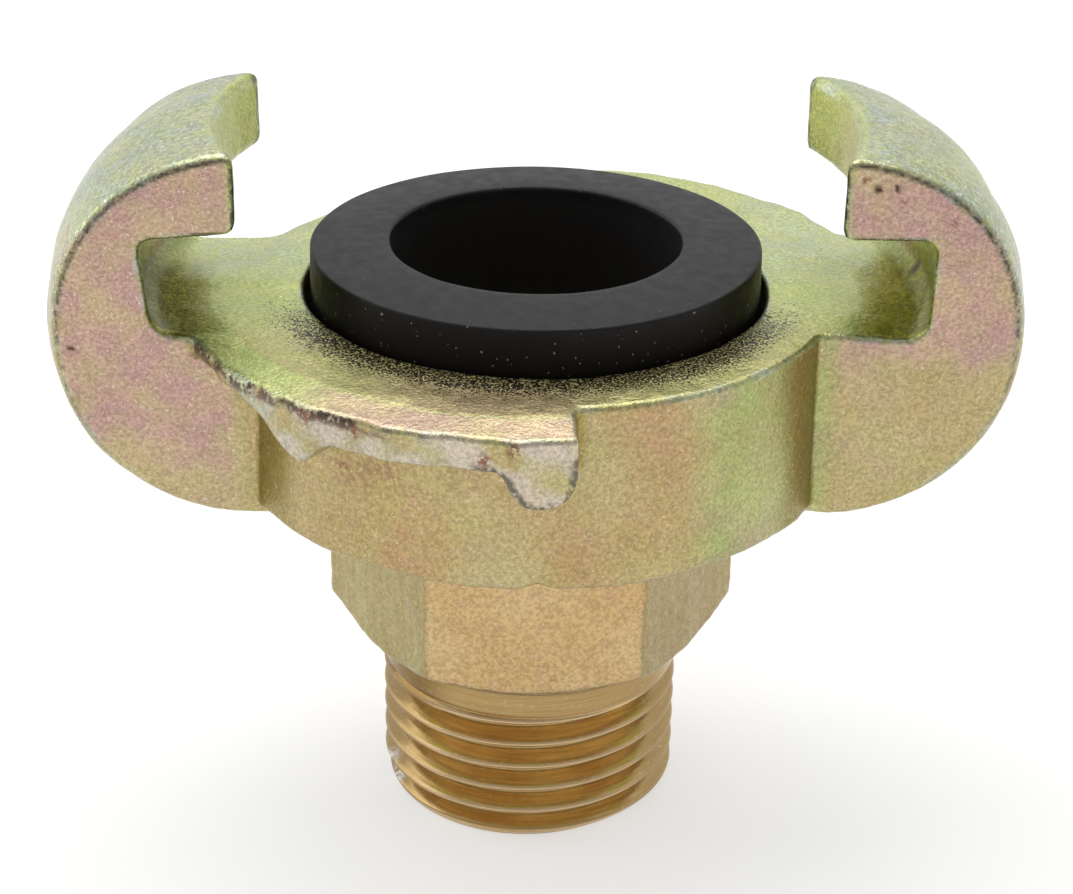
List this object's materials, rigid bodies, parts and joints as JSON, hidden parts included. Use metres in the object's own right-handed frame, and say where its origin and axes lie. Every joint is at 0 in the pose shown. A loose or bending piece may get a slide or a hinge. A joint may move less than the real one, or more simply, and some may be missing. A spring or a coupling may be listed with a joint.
{
  "type": "claw coupling half",
  "caption": "Cast claw-coupling half: two hook claws, two locking ledges, hexagon, male pipe thread and a rubber face seal, for compressed-air lines.",
  "frame": {"origin": "centre of the threaded spigot's end face, on the bore's axis", "axes": "+Z along the bore towards the mating face, +X through one claw, so the claws lie on the X axis"},
  "size_m": [0.0646, 0.048, 0.0496],
  "materials": {
    "chromated_iron": "malleable iron, zinc plated and yellow iridescent chromated, fine cast grain",
    "black_rubber": "matte moulded nitrile rubber"
  },
  "bodies": {
    "casting": {"coupling_body": "chromated_iron"},
    "seal": {"sealing_ring": "black_rubber"}
  },
  "joints": [
    {"name": "seal_squeeze", "type": "slide", "parent": "casting", "child": "seal", "axis": [0, 0, 1], "range_m": [-0.0012, 0], "stiffness_N_per_m": 120000, "deforming": ["sealing_ring"]}
  ]
}
